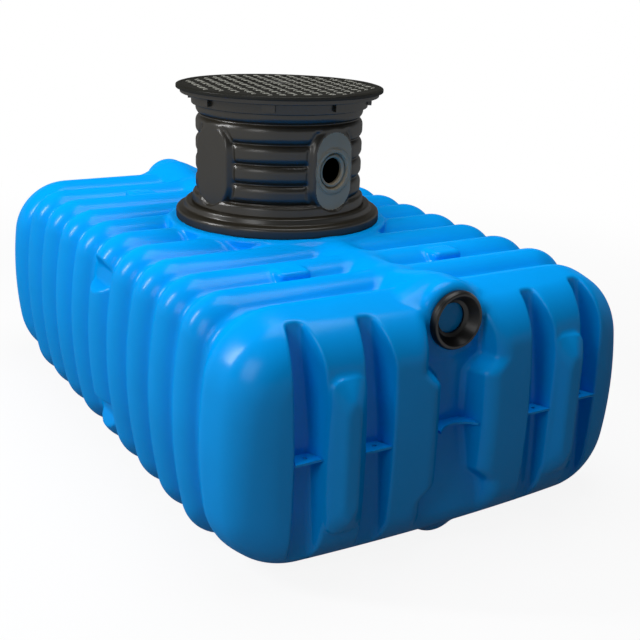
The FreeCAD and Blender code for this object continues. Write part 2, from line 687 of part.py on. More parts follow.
def neck_quarter(label, bearing):
    wall = new_body(label + "_wall")
    sketch = rib_sketch(wall, "Sizes.neck_radius", "Sizes.neck_rib_pitch", "Sizes.neck_rib_depth",
                        "Sizes.neck_circles", "Sizes.neck_valley_radius", "Sizes.neck_wall", "XZ_Plane")
    swept = add_feature(wall, "Revolution", label + "_sweep", sketch, {"Angle": "90 deg"},
                        ReferenceAxis=(sketch, ["V_Axis"]), Midplane=True)
    repeat(wall, swept, sketch, "V_Axis", "Sizes.neck_rib_pitch * (Sizes.neck_rib_count - 1)",
           "Sizes.neck_rib_count")
    place(wall, z="Sizes.flange_top + Sizes.neck_rib_pitch / 2")
    pad = new_body(label + "_pad")
    outline = new_sketch(pad, "YZ_Plane", label + "_pad_outline")
    outline.setExpression("AttachmentOffset.Base.z", "Sizes.shaft_radius")
    half = "(Sizes.pad_width / 2)"
    middle = "Sizes.pad_middle"
    low = "Sizes.flange_top"
    high = f"{middle} + Sizes.pad_height / 2"
    foot, head = "Sizes.pad_foot", "Sizes.pad_corner"
    path = [
        (f"-{half} + {foot}", low), (f"{half} - {foot}", low), ("arc", foot, 1),
        (half, f"{low} + {foot}"), (half, f"{high} - {head}"), ("arc", head, 1),
        (f"{half} - {head}", high), (f"-{half} + {head}", high), ("arc", head, 1),
        (f"-{half}", f"{high} - {head}"), (f"-{half}", f"{low} + {foot}"), ("arc", foot, 1)]
    draw_outline(outline, path)
    add_feature(pad, "Pad", label + "_pad_run", outline, {"Length": "Sizes.pad_face - Sizes.shaft_radius"})
    trim = new_body(label + "_trim")
    face = new_sketch(trim, "YZ_Plane", label + "_trim_outline")
    face.setExpression("AttachmentOffset.Base.z", "Sizes.pad_face")
    draw_outline(face, path)
    add_feature(trim, "Pad", label + "_trim_run", face, {"Length": "Sizes.neck_radius"})
    flattened = cut(label + "_flattened", wall, trim)
    quarter = fuse(label + "_blank" if label == "neck_front" else label, [flattened, pad])
    if label == "neck_front":
        hole = primitive("Cylinder", "neck_seal_bore", {
            "Radius": "Sizes.seal_hole", "Height": "Sizes.pad_face"})
        turn(hole, ALONG, "90 deg")
        place(hole, z=middle)
        quarter = cut(label, quarter, hole)
    turn(quarter, UPRIGHT, f"{bearing} deg + Sizes.neck_turn * 1 deg")
    return keep(quarter, label)


neck_front = neck_quarter("neck_front", 270)
neck_quarter("neck_right", 0)
neck_quarter("neck_back", 90)
neck_quarter("neck_left", 180)

neck_seal = pipe_seal("neck_seal")
keep(neck_seal, "neck_seal")
neck_seal.Placement = FreeCAD.Placement(
    FreeCAD.Vector(),
    FreeCAD.Rotation(FreeCAD.Vector(UPRIGHT), number("Sizes.neck_turn")) *
    FreeCAD.Rotation(FreeCAD.Vector(ACROSS), 90))
place(neck_seal, "Sizes.pad_face * sin(Sizes.neck_turn * 1 deg)",
      "-Sizes.pad_face * cos(Sizes.neck_turn * 1 deg)", "Sizes.pad_middle")

waist = "Sizes.neck_radius - Sizes.neck_rib_depth"
turned("neck_collar", [
    ("Sizes.shaft_radius", "Sizes.neck_top"), (waist, "Sizes.neck_top"),
    (waist, "Sizes.lid_seat - Sizes.collar_lip"),
    ("Sizes.collar_radius", "Sizes.lid_seat - Sizes.collar_lip"), ("Sizes.collar_radius", "Sizes.lid_seat"),
    ("Sizes.shaft_radius", "Sizes.lid_seat"),
])

# Lugs under the collar's lip, spaced evenly, and the lift-off lid.
lugs = []
for index in range(int(SIZES["lug_count"])):
    lug = primitive("Box", f"lug_{index + 1}", {
        "Length": "Sizes.lug_depth", "Width": "Sizes.lug_width", "Height": "Sizes.lug_height"})
    bearing = f"(360 deg * {index} / Sizes.lug_count + Sizes.neck_turn * 1 deg)"
    reach = "(Sizes.neck_radius + Sizes.lug_gap)"
    turn(lug, UPRIGHT, bearing)
    place(lug, f"{reach} * cos({bearing}) + Sizes.lug_width / 2 * sin({bearing})",
          f"{reach} * sin({bearing}) - Sizes.lug_width / 2 * cos({bearing})",
          "Sizes.lid_seat - Sizes.collar_lip - Sizes.lug_height")
    lugs.append(lug)
collar_lugs = doc.addObject("Part::Compound", "collar_lugs")
collar_lugs.Links = lugs
keep(collar_lugs, "collar_lugs")

turned("lid", [
    ("0", "Sizes.lid_seat"), ("Sizes.lid_radius", "Sizes.lid_seat"),
    ("Sizes.lid_radius", "Sizes.lid_seat + Sizes.lid_thickness - Sizes.lid_edge"),
    ("arc", "Sizes.lid_edge", 1),
    ("Sizes.lid_radius - Sizes.lid_edge", "Sizes.lid_seat + Sizes.lid_thickness"),
    ("0", "Sizes.lid_seat + Sizes.lid_thickness"),
])

doc.recompute()
failed = [thing.Name for thing in doc.Objects if "Invalid" in thing.State or "Error" in thing.State]
failed += [piece.Label for piece in subparts if piece.Shape.isNull() or not piece.Shape.isValid()]
if failed:
    raise RuntimeError("failed: " + ", ".join(failed))
os.makedirs("parts", exist_ok=True)
for piece in subparts:
    piece.Shape.exportStep(f"parts/{piece.Label}.step")
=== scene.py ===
import math

import bpy
import numpy as np
import openvdb
from mathutils import Matrix, Vector


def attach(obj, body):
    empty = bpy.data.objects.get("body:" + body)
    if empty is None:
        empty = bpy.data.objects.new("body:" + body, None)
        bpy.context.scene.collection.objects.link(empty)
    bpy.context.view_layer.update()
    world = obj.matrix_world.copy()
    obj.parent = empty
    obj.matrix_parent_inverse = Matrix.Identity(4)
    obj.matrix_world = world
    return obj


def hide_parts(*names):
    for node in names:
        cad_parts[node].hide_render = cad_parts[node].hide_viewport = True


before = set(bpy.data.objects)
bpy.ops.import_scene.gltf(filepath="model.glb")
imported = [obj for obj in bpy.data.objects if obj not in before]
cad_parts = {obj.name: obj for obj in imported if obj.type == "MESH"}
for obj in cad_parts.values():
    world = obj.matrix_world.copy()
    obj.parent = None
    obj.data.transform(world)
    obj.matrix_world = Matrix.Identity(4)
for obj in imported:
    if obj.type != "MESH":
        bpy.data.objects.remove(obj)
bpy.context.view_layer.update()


# Tank shell: one rotationally moulded shell of blue polyethylene, ribbed all round its length and
# closed by a dished end at each side. It is drawn as a field of signed distances in millimetres,
# and the skin lies where that field is zero.
HALF_WIDTH = 795.0
HALF_HEIGHT = 417.5
SIDE_RADIUS = 1500.0
RIB_CORNER = 150.0
CAP_CORNER = 250.0
RIB_PITCH = 202.0
RIB_DEPTH = 44.0
VALLEY_RADIUS = 38.0
RIB_CIRCLES = (RIB_PITCH ** 2 / 4 + RIB_DEPTH ** 2) / (2 * RIB_DEPTH)
CROWN_RADIUS = RIB_CIRCLES - VALLEY_RADIUS
LAST_CROWN = 5 * RIB_PITCH
SCOOP_DEPTH = 42.0
SCOOP_SILL = (206.0, 244.0)
SCOOP_HEAD = (316.0, 352.0)
SCOOP_HEAD_SLOPE = 0.7
SCOOP_HEAD_SIDE = 760.0
SCOOP_INNER_SIDE = 600.0
FACE = 1265.0
FACE_BOW = 4500.0
FACE_DISH = 2600.0
CAP_DRAFT = 70.0
CAP_DRAFT_POWER = 1.35


def round_inside(a, b, radius):
    """The space common to two fields, its edge rounded off."""
    corner = np.hypot(np.maximum(a + radius, 0.0), np.maximum(b + radius, 0.0))
    return np.minimum(np.maximum(a, b), -radius) + corner


def round_join(a, b, radius):
    """Two fields put together, with a fillet where they meet."""
    return -round_inside(-a, -b, radius)


def ease(value, low, high):
    """A smooth step from 0 at low to 1 at high."""
    step = np.clip((value - low) / (high - low), 0.0, 1.0)
    return step * step * (3.0 - 2.0 * step)


def ribbed_body(x, y, z):
    """The bulged box with its ribs and lifting hollows, drawn in past the last crown."""
    side, along, up = abs(x), abs(y), abs(z - HALF_HEIGHT)
    to_cap = ease(along, LAST_CROWN - RIB_PITCH, LAST_CROWN)
    corner = RIB_CORNER + (CAP_CORNER - RIB_CORNER) * to_cap
    lean = np.arcsin((HALF_HEIGHT - corner) / (SIDE_RADIUS - corner))
    reach = side - (HALF_WIDTH - SIDE_RADIUS + (SIDE_RADIUS - corner) * np.cos(lean))
    rise = up - (HALF_HEIGHT - corner)
    bulge = np.hypot(side - HALF_WIDTH + SIDE_RADIUS, up) - SIDE_RADIUS
    in_corner = (reach > 0.0) & (rise * np.cos(lean) > reach * np.sin(lean))
    section = np.where(in_corner, np.hypot(reach, rise) - corner,
                       np.maximum(up - HALF_HEIGHT, bulge))
    off_crown = abs((y + RIB_PITCH / 2) % RIB_PITCH - RIB_PITCH / 2)
    crown = CROWN_RADIUS - np.sqrt(CROWN_RADIUS ** 2 - np.minimum(off_crown, CROWN_RADIUS) ** 2)
    off_valley = np.minimum(RIB_PITCH / 2 - off_crown, VALLEY_RADIUS)
    valley = RIB_DEPTH - VALLEY_RADIUS + np.sqrt(VALLEY_RADIUS ** 2 - off_valley ** 2)
    meeting = RIB_PITCH / 2 * CROWN_RADIUS / RIB_CIRCLES
    rib = np.where(off_crown < meeting, crown, valley)
    head = up - SCOOP_HEAD_SLOPE * (side - SCOOP_HEAD_SIDE)
    scoop = ease(up, *SCOOP_SILL) * (1.0 - ease(head, *SCOOP_HEAD))
    scoop = scoop * ((along < RIB_PITCH / 2) & (side > SCOOP_INNER_SIDE))
    rib = np.maximum(rib, SCOOP_DEPTH * scoop)
    beyond = np.maximum(along - LAST_CROWN, 0.0)
    draft = CAP_DRAFT * (beyond / (FACE - LAST_CROWN)) ** CAP_DRAFT_POWER
    return section + np.where(beyond > 0.0, draft, rib)


def face_depth(x, y, z):
    """How far a point lies behind the dished face of its end."""
    bow = FACE_BOW - np.sqrt(FACE_BOW ** 2 - x * x)
    dish = FACE_DISH - np.sqrt(FACE_DISH ** 2 - (z - HALF_HEIGHT) ** 2)
    return FACE - bow - dish - abs(y)


GROOVES = (318.0, 548.0)
GROOVE_MOUTH = 49.0
GROOVE_FLOOR = 30.0
GROOVE_DEPTH = 62.0
GROOVE_LEAN = 0.1
GROOVE_RUN_OUT = 0.07
GROOVE_CORNER = 14.0


def grooves(x, depth, z):
    """Tapered grooves that lean back to the roof and run out towards the floor."""
    slope = (GROOVE_MOUTH - GROOVE_FLOOR) / GROOVE_DEPTH
    rise = z - HALF_HEIGHT
    lean = GROOVE_LEAN * np.maximum(rise, 0.0)
    bottom = GROOVE_DEPTH + lean + GROOVE_RUN_OUT * np.minimum(rise, 0.0)
    nearest = np.minimum(*(abs(abs(x) - middle) for middle in GROOVES))
    wall = (nearest - GROOVE_MOUTH + slope * (depth - lean / 2)) / math.hypot(1.0, slope)
    return round_inside(wall, depth - bottom, GROOVE_CORNER)


RECESS_BACK = 1160.0
RECESS_HALF = 112.0
RECESS_DRAFT = 0.36
RECESS_WALL_SCALE = 0.88
RECESS_RUN_OUT = 0.15
RECESS_CORNER = 16.0
CHANNEL_HALF = 62.0
CHANNEL_FLARE = (160.0, 228.0)


def pipe_recess(x, y, z):
    """A recess in the middle of the end that narrows to a channel at the parting line."""
    flare = ease(abs(z - HALF_HEIGHT), *CHANNEL_FLARE)
    half = CHANNEL_HALF + (RECESS_HALF - CHANNEL_HALF) * flare
    half = half + RECESS_DRAFT * (abs(y) - RECESS_BACK)
    back = RECESS_BACK + RECESS_RUN_OUT * np.maximum(HALF_HEIGHT - z, 0.0)
    return round_inside(RECESS_WALL_SCALE * (abs(x) - half), back - abs(y), RECESS_CORNER)


PILASTER_HALF_WIDTH = 66.0
PILASTER_HALF_HEIGHT = 252.0
PILASTER_FLANK_SLOPE = 1.0
PILASTER_TOP_SLOPE = 1.35
PILASTER_PROUD = 42.0
PILASTER_CORNER = 34.0
PILASTER_EDGE = 7.0


def pilasters(x, y, z):
    """Raised bars between the grooves, with bevelled flanks and sloped tops."""
    middle = sum(GROOVES) / 2
    rise = -face_depth(middle, y, HALF_HEIGHT)
    proud = np.maximum(rise, 0.0)
    width = abs(abs(x) - middle) + PILASTER_FLANK_SLOPE * proud - PILASTER_HALF_WIDTH
    height = abs(z - HALF_HEIGHT) + PILASTER_TOP_SLOPE * proud - PILASTER_HALF_HEIGHT
    bar = round_inside(width / math.hypot(1.0, PILASTER_FLANK_SLOPE),
                       height / math.hypot(1.0, PILASTER_TOP_SLOPE), PILASTER_CORNER)
    return round_inside(bar, rise - PILASTER_PROUD, PILASTER_EDGE)


PIPE_HEIGHT = 763.0
DOME_RADIUS = 119.0
DOME_DROP = 130.0
DOME_EDGE = 34.0
DOME_HEM = 20.0
SPINE_DROP = 41.0
SPINE_RAMP = (800.0, 1060.0)


def dome_and_spine(x, y, z):
    """The hood over the pipe, and the low spine that runs from it along the roof."""
    along = abs(y)
    axis = PIPE_HEIGHT - SPINE_DROP * (1.0 - ease(along, *SPINE_RAMP))
    arch = np.where(z > axis, np.hypot(x, z - axis), abs(x)) - DOME_RADIUS
    hood = round_inside(arch, along - RECESS_BACK, DOME_EDGE)
    return round_inside(hood, PIPE_HEIGHT - DOME_DROP - z, DOME_HEM)


HOLE_RADIUS = 86.0
HOLE_BACK = 1138.0


def pipe_hole(x, y, z):
    """The blind pocket that takes the pipe seal."""
    return np.maximum(np.hypot(x, z - PIPE_HEIGHT) - HOLE_RADIUS, HOLE_BACK - abs(y))


FOOT_START = 1050.0
FOOT_TOP = 190.0


def foot(x, y, z):
    """A rounded toe under each end that keeps the floor's level out to the recess."""
    arch = np.where(z < DOME_RADIUS, np.hypot(x, z - DOME_RADIUS), abs(x)) - DOME_RADIUS
    toe = round_inside(arch, abs(y) - RECESS_BACK, DOME_EDGE)
    return round_inside(toe, np.maximum(FOOT_START - abs(y), z - FOOT_TOP), DOME_HEM)


BOSS_SIDE = 316.0
BOSS_ALONG = 3.5 * RIB_PITCH - 30.0
BOSS_HALF_LENGTH = 62.0
BOSS_HALF_BREADTH = 44.0
BOSS_FOOT = 760.0
BOSS_TOP = 836.0
BOSS_CORNER = 26.0
BOSS_EDGE = 16.0


def roof_bosses(x, y, z):
    """Four flat blocks that bridge a valley of the roof."""
    length = abs(abs(x) - BOSS_SIDE) - BOSS_HALF_LENGTH
    breadth = abs(abs(y) - BOSS_ALONG) - BOSS_HALF_BREADTH
    height = np.maximum(z - BOSS_TOP, BOSS_FOOT - z)
    return round_inside(round_inside(length, breadth, BOSS_CORNER), height, BOSS_EDGE)


PLATFORM_RADIUS = 432.0
PLATFORM_FOOT = 700.0
PLATFORM_TOP = 845.0
PLATFORM_EDGE = 8.0


def neck_platform(x, y, z):
    """The round platform in the middle of the roof that carries the neck."""
    height = np.maximum(z - PLATFORM_TOP, PLATFORM_FOOT - z)
    return round_inside(np.hypot(x, y) - PLATFORM_RADIUS, height, PLATFORM_EDGE)


CAP_EDGE = 105.0
PILASTER_FILLET = 14.0
GROOVE_EDGE = 7.0
RECESS_EDGE = 34.0
FOOT_FILLET = 10.0
SPINE_FILLET = 22.0
DOME_FILLET = 62.0
DOME_FILLET_START = (960.0, 1060.0)
MOUTH_FILLET = 16.0
MOUTH_FILLET_START = (1085.0, 1150.0)
HOLE_EDGE = 2.0
PLATFORM_FILLET = 20.0
BOSS_FILLET = 14.0


def tank_shell(x, y, z):
    """The whole outside of the tank."""
    depth = face_depth(x, y, z)
    shell = round_inside(ribbed_body(x, y, z), -depth, CAP_EDGE)
    shell = round_join(shell, pilasters(x, y, z), PILASTER_FILLET)
    shell = round_inside(shell, -grooves(x, depth, z), GROOVE_EDGE)
    shell = round_inside(shell, -pipe_recess(x, y, z), RECESS_EDGE)
    shell = round_join(shell, foot(x, y, z), FOOT_FILLET)
    fillet = SPINE_FILLET + (DOME_FILLET - SPINE_FILLET) * ease(abs(y), *DOME_FILLET_START)
    fillet = fillet + (MOUTH_FILLET - DOME_FILLET) * ease(abs(y), *MOUTH_FILLET_START)
    shell = round_join(shell, dome_and_spine(x, y, z), fillet)
    shell = round_inside(shell, -pipe_hole(x, y, z), HOLE_EDGE)
    shell = round_join(shell, neck_platform(x, y, z), PLATFORM_FILLET)
    return round_join(shell, roof_bosses(x, y, z), BOSS_FILLET)


def slope_of(field, points, reach=0.4):
    """How a field rises along each axis."""
    steps = np.eye(3) * reach
    rises = [field(*(points + step).T) - field(*(points - step).T) for step in steps]
    return np.stack(rises, 1) / (2 * reach)


def add_piece(name, points, faces):
    """A smooth mesh object from points in millimetres."""
    mesh = bpy.data.meshes.new(name)
    mesh.from_pydata(points / 1000.0, [], faces)
    mesh.shade_smooth()
    piece = bpy.data.objects.new(name, mesh)
    bpy.context.collection.objects.link(piece)
    return piece


def skin(name, field, low, high, cell, margin=2, band=3.0, rounds=5):
    """A mesh on a field's zero level, cut off square where the surface runs out of the box."""
    low, high, cell = (np.array(value, dtype=float) for value in (low, high, cell))
    start = low - margin * cell
    counts = np.ceil((high - low) / cell).astype(int) + 2 * margin + 1
    axes = [start[i] + cell[i] * np.arange(counts[i]) for i in range(3)]
    levels = field(*np.meshgrid(*axes, indexing="ij", sparse=True)) / cell.min()
    grid = openvdb.FloatGrid(band)
    grid.copyFromArray(np.ascontiguousarray(np.clip(levels, -band, band), dtype=np.float32))
    points, quads = grid.convertToQuads(0.0)
    points = start + np.asarray(points, dtype=float) * cell
    least_slope, longest_pull = 0.3, 4.0
    for _ in range(rounds):
        points = np.clip(points, low, high)
        held = (points <= low) | (points >= high)
        slope = np.where(held, 0.0, slope_of(field, points))
        pull = field(*points.T) / np.maximum((slope ** 2).sum(1), least_slope)
        points -= np.clip(pull, -longest_pull, longest_pull)[:, None] * slope
    quads = np.asarray(quads)[:, ::-1]
    quads = quads[~held.any(1)[quads].all(1)]
    used, faces = np.unique(quads, return_inverse=True)
    return add_piece(name, points[used], faces.reshape(quads.shape).tolist())


def mirrored(name, original):
    """The same piece at the other end of the tank."""
    piece = original.copy()
    piece.data = original.data.copy()
    piece.name = piece.data.name = name
    piece.data.transform(Matrix.Diagonal((1.0, -1.0, 1.0, 1.0)))
    piece.data.flip_normals()
    bpy.context.collection.objects.link(piece)
    return piece


def linear(code):
    """A colour written as sRGB hex, in linear light."""
    parts = [int(code[i:i + 2], 16) / 255.0 for i in (1, 3, 5)]
    return [part / 12.92 if part <= 0.04045 else ((part + 0.055) / 1.055) ** 2.4
            for part in parts] + [1.0]


def add_node(tree, kind, sockets, **settings):
    """A node with its settings, its socket values and the links into it."""
    node = tree.nodes.new(kind)
    for name, value in settings.items():
        setattr(node, name, value)
    for name, value in sockets.items():
        if isinstance(value, bpy.types.NodeSocket):
            tree.links.new(value, node.inputs[name])
        else:
            node.inputs[name].default_value = value
    return node


def new_material(name):
    material = bpy.data.materials.new(name)
    material.use_nodes = True
    material.node_tree.nodes.clear()
    return material, material.node_tree


# Blue polyethylene from a heated mould that turns: a strong even blue with small crisp highlights,
# a faint orange peel 6 mm wide and broad, very slight changes of tone where the wall set at
# different speeds. All of the gloss is in the coat, so that no pale rim runs along the ribs.
TONE_PATCH = 333.0
PEEL_WIDTH = 6.0
blue_plastic, tree = new_material("rotomoulded_polyethylene_blue")
place = add_node(tree, "ShaderNodeTexCoord", {}).outputs["Object"]
tone = add_node(tree, "ShaderNodeTexNoise", {
    "Vector": place, "Scale": 1000.0 / TONE_PATCH, "Detail": 3.0})
shade = add_node(tree, "ShaderNodeValToRGB", {"Fac": tone.outputs["Fac"]})
shade.color_ramp.elements[0].position = 0.3
shade.color_ramp.elements[0].color = linear("#009BF0")
shade.color_ramp.elements[1].position = 0.7
shade.color_ramp.elements[1].color = linear("#00A1FA")
gloss = add_node(tree, "ShaderNodeMapRange", {
    "Value": tone.outputs["Fac"], "To Min": 0.24, "To Max": 0.3})
peel = add_node(tree, "ShaderNodeTexNoise", {
    "Vector": place, "Scale": 1000.0 / (2.0 * PEEL_WIDTH), "Detail": 1.0})
relief = add_node(tree, "ShaderNodeBump", {
    "Height": peel.outputs["Fac"], "Strength": 0.05, "Distance": 0.001})
surface = add_node(tree, "ShaderNodeBsdfPrincipled", {
    "Base Color": shade.outputs["Color"], "Roughness": gloss.outputs["Result"], "IOR": 1.51,
    "Specular IOR Level": 0.0, "Coat Weight": 0.045, "Coat Roughness": 0.22, "Coat IOR": 3.0,
    "Normal": relief.outputs["Normal"], "Coat Normal": relief.outputs["Normal"]})
add_node(tree, "ShaderNodeOutputMaterial", {"Surface": surface.outputs["BSDF"]})

SKIN_SIDE = 830.0
SKIN_END = 1290.0
SKIN_FLOOR = -12.0
SKIN_TOP = 900.0
END_CELL = (5.6, 5.6, 8.0)
SHELL_CELL = (8.5, 8.5, 8.5)
front_skin = skin("front_end_skin", tank_shell, (-SKIN_SIDE, -SKIN_END, SKIN_FLOOR),
                  (SKIN_SIDE, -LAST_CROWN, SKIN_TOP), END_CELL)
back_skin = mirrored("back_end_skin", front_skin)
left_skin = skin("left_shell_skin", tank_shell, (-SKIN_SIDE, -LAST_CROWN, SKIN_FLOOR),
                 (0.0, LAST_CROWN, SKIN_TOP), SHELL_CELL)
right_skin = skin("right_shell_skin", tank_shell, (0.0, -LAST_CROWN, SKIN_FLOOR),
                  (SKIN_SIDE, LAST_CROWN, SKIN_TOP), SHELL_CELL)
for piece, nodes in (
        (front_skin, ["front_end", "front_pipe_dome", "front_foot"]),
        (back_skin, ["back_end", "back_pipe_dome", "back_foot"]),
        (left_skin, ["left_wall", "upper_left_corner", "lower_left_corner", "roof_front_left",
                     "roof_back_left", "roof_bosses", "neck_platform"]),
        (right_skin, ["right_wall", "upper_right_corner", "lower_right_corner",
                      "roof_front_right", "roof_back_right", "floor"])):
    piece.data.materials.append(blue_plastic)
    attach(piece, "root")
    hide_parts(*nodes)


# Webs: thin shelves moulded across the grooves and the channel of each end, where the mould halves
# part. They are the same blue polyethylene as the shell.
for node in ("front_webs", "back_webs"):
    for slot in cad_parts[node].material_slots:
        slot.material = blue_plastic


# Pipe seals: black rubber rings pressed into the pockets in the ends. Each has a round outer bead
# and a funnel down to the lip that grips the pipe. They are turned about the pipe's axis.
def ring_grid(name, rows, kept=None):
    """A closed ring from rows of points that run round an axis; the last row joins the first."""
    count, around = rows.shape[:2]
    index = np.arange(count * around).reshape(count, around)
    ahead, beside = np.roll(index, -1, 0), np.roll(index, -1, 1)
    faces = np.stack([index, beside, np.roll(ahead, -1, 1), ahead], -1)
    faces = faces.reshape(-1, 4) if kept is None else faces[kept]
    return add_piece(name, rows.reshape(-1, 3), faces.tolist())


def turned(name, outline, around=192):
    """A ring about the Z axis from its outline of radius and height, walked outside upwards."""
    angle = np.linspace(0.0, 2 * np.pi, around, endpoint=False)
    radius, height = np.array(outline).T
    rows = np.stack([radius[:, None] * np.cos(angle), radius[:, None] * np.sin(angle),
                     np.repeat(height[:, None], around, 1)], -1)
    return ring_grid(name, rows)


def rounded(corners, steps=6):
    """An outline from corners of radius, height and bend, each bend drawn as an arc."""
    places = np.array(corners, dtype=float)[:, :2]
    nearly_straight = 1.55
    points = []
    for index, here in enumerate(places):
        bend = float(corners[index][2])
        before = places[index - 1] - here
        after = places[(index + 1) % len(places)] - here
        before, after = before / np.hypot(*before), after / np.hypot(*after)
        half = math.acos(np.clip(before @ after, -1.0, 1.0)) / 2
        if bend == 0.0 or half > nearly_straight:
            points.append(here)
            continue
        middle = here + (before + after) / np.hypot(*(before + after)) * bend / math.sin(half)
        first = here + before * bend / math.tan(half) - middle
        last = here + after * bend / math.tan(half) - middle
        for step in np.linspace(0.0, 1.0, steps):
            way = first * (1 - step) + last * step
            points.append(middle + way / np.hypot(*way) * bend)
    return points


# Moulded rubber: near black and satin, with soft highlights along the beads and a little dust. Its
# grain is drawn 4 mm wide, coarser than the real one, so that it shows.
DUST_PATCH = 83.0
RUBBER_GRAIN = 4.0
rubber, tree = new_material("moulded_rubber_black")
place = add_node(tree, "ShaderNodeTexCoord", {}).outputs["Object"]
grain = add_node(tree, "ShaderNodeTexNoise", {
    "Vector": place, "Scale": 1000.0 / RUBBER_GRAIN, "Detail": 2.0})
dust = add_node(tree, "ShaderNodeTexNoise", {
    "Vector": place, "Scale": 1000.0 / DUST_PATCH, "Detail": 3.0})
shade = add_node(tree, "ShaderNodeValToRGB", {"Fac": dust.outputs["Fac"]})
shade.color_ramp.elements[0].color = linear("#0B0B0A")
shade.color_ramp.elements[1].color = linear("#131211")
relief = add_node(tree, "ShaderNodeBump", {
    "Height": grain.outputs["Fac"], "Strength": 0.1, "Distance": 0.0005})
surface = add_node(tree, "ShaderNodeBsdfPrincipled", {
    "Base Color": shade.outputs["Color"], "Roughness": 0.36, "IOR": 1.52,
    "Specular IOR Level": 0.3, "Normal": relief.outputs["Normal"]})
add_node(tree, "ShaderNodeOutputMaterial", {"Surface": surface.outputs["BSDF"]})

SEAL_AROUND = 96
front_seal = turned("front_seal_ring", rounded([
    (50, -18, 0), (84, -18, 0), (84, 4, 0), (96, 4, 2), (96, 19, 6), (90, 30, 5), (82, 30, 4),
    (62, -5, 8), (50, -11, 2)]), SEAL_AROUND)
front_seal.data.transform(
    Matrix.Translation((0.0, -RECESS_BACK / 1000.0, PIPE_HEIGHT / 1000.0))
    @ Matrix.Rotation(math.pi / 2, 4, "X"))
front_seal.data.materials.append(rubber)
back_seal = mirrored("back_seal_ring", front_seal)
for piece, node in ((front_seal, "front_seal"), (back_seal, "back_seal")):
    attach(piece, "root")
    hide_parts(node)


# Neck flange: the foot of the access neck, a stack of rounded steps in dark grey polyethylene that
# stands on the platform of the roof. It is turned about the neck's axis.
SHAFT = 305.0
flange = turned("neck_flange_steps", rounded([
    (SHAFT, PLATFORM_TOP, 0), (403, PLATFORM_TOP, 6), (403, 885, 14), (372, 889, 8), (366, 912, 10),
    (SHAFT, 915, 0)]))

# Dark grey polyethylene, moulded with a satin texture: soft broad highlights and an even grain,
# drawn 5 mm wide, coarser than the real one, so that it shows.
GREY_PATCH = 200.0
GREY_GRAIN = 5.0
grey_plastic, tree = new_material("moulded_polyethylene_dark_grey")
place = add_node(tree, "ShaderNodeTexCoord", {}).outputs["Object"]
tone = add_node(tree, "ShaderNodeTexNoise", {
    "Vector": place, "Scale": 1000.0 / GREY_PATCH, "Detail": 4.0})
shade = add_node(tree, "ShaderNodeValToRGB", {"Fac": tone.outputs["Fac"]})
shade.color_ramp.elements[0].color = linear("#24211A")
shade.color_ramp.elements[1].color = linear("#2C2820")
grain = add_node(tree, "ShaderNodeTexNoise", {
    "Vector": place, "Scale": 1000.0 / GREY_GRAIN, "Detail": 2.0})
relief = add_node(tree, "ShaderNodeBump", {
    "Height": grain.outputs["Fac"], "Strength": 0.12, "Distance": 0.0006})
surface = add_node(tree, "ShaderNodeBsdfPrincipled", {
    "Base Color": shade.outputs["Color"], "Roughness": 0.4, "IOR": 1.5,
    "Specular IOR Level": 0.0, "Coat Weight": 0.15, "Coat Roughness": 0.3, "Coat IOR": 3.0,
    "Normal": relief.outputs["Normal"], "Coat Normal": relief.outputs["Normal"]})
add_node(tree, "ShaderNodeOutputMaterial", {"Surface": surface.outputs["BSDF"]})

flange.data.materials.append(grey_plastic)
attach(flange, "root")
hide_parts("neck_flange")


# Neck: a moulded tube with five flat ribs and four flat pads for pipe connections, set at a small
# turn to the tank. The ribs end before the pads, which are cut down into the step that the tube
# stands on. Its wall is a grid of radii over angle and height.
STEP_FOOT = 912.0
STEP_RADIUS = 341.0
STEP_DRAFT = 0.14
STEP_EDGE = 13.0
NECK_FOOT = 951.0
NECK_TOP = 1321.0
NECK_RADIUS = 325.0
NECK_PLAIN = NECK_RADIUS - 8.0
NECK_PITCH = 74.0
NECK_CROWN = 10.0
NECK_SHOULDER = 30.0
NECK_TURN = math.radians(10.5)
NECK_AROUND = 640
NECK_LEVELS = 137
PAD_FACE = 326.0
PAD_MIDDLE = 1072.0
PAD_HALF = 88.0
PAD_RISE = 147.0
PAD_BLEND = 30.0
PAD_MARGIN = 2.0
RIB_FADE_BESIDE = (16.0, 46.0)
RIB_FADE_ABOVE = (PAD_MIDDLE + PAD_RISE - 10.0, PAD_MIDDLE + PAD_RISE + 12.0)
SEAL_HEIGHT = 1075.0
SEAL_HOLE = 70.0

around = np.linspace(0.0, 2 * np.pi, NECK_AROUND, endpoint=False)
angle, level = np.meshgrid(around, np.linspace(STEP_FOOT, NECK_TOP, NECK_LEVELS))
off = abs((level - NECK_FOOT) % NECK_PITCH - NECK_PITCH / 2)
rib = NECK_SHOULDER - np.sqrt(NECK_SHOULDER ** 2 - np.maximum(off - NECK_CROWN, 0.0) ** 2)
from_front = angle + np.pi / 2 - NECK_TURN
quarter = (from_front + np.pi / 4) % (np.pi / 2) - np.pi / 4
at_front = abs((from_front + np.pi) % (2 * np.pi) - np.pi) < np.pi / 4
across = PAD_FACE * np.tan(quarter)
past_straight = np.maximum(abs(level - PAD_MIDDLE) - (PAD_RISE - PAD_HALF), 0.0)
beside_pad = np.hypot(across, past_straight) - PAD_HALF
fade = np.maximum(ease(beside_pad, *RIB_FADE_BESIDE), ease(level, *RIB_FADE_ABOVE))
wall = NECK_PLAIN + (NECK_RADIUS - rib - NECK_PLAIN) * fade
edge = np.clip(level - NECK_FOOT + STEP_EDGE, 0.0, STEP_EDGE)
step = STEP_RADIUS - STEP_DRAFT * (level - STEP_FOOT)
step = step - STEP_EDGE + np.sqrt(STEP_EDGE ** 2 - edge ** 2)
wall = np.where(level < NECK_FOOT, step, wall)
flat = PAD_FACE / np.cos(quarter)
wall = wall + np.maximum(flat - wall, 0.0) * ease(-beside_pad, -PAD_BLEND, 0.0)
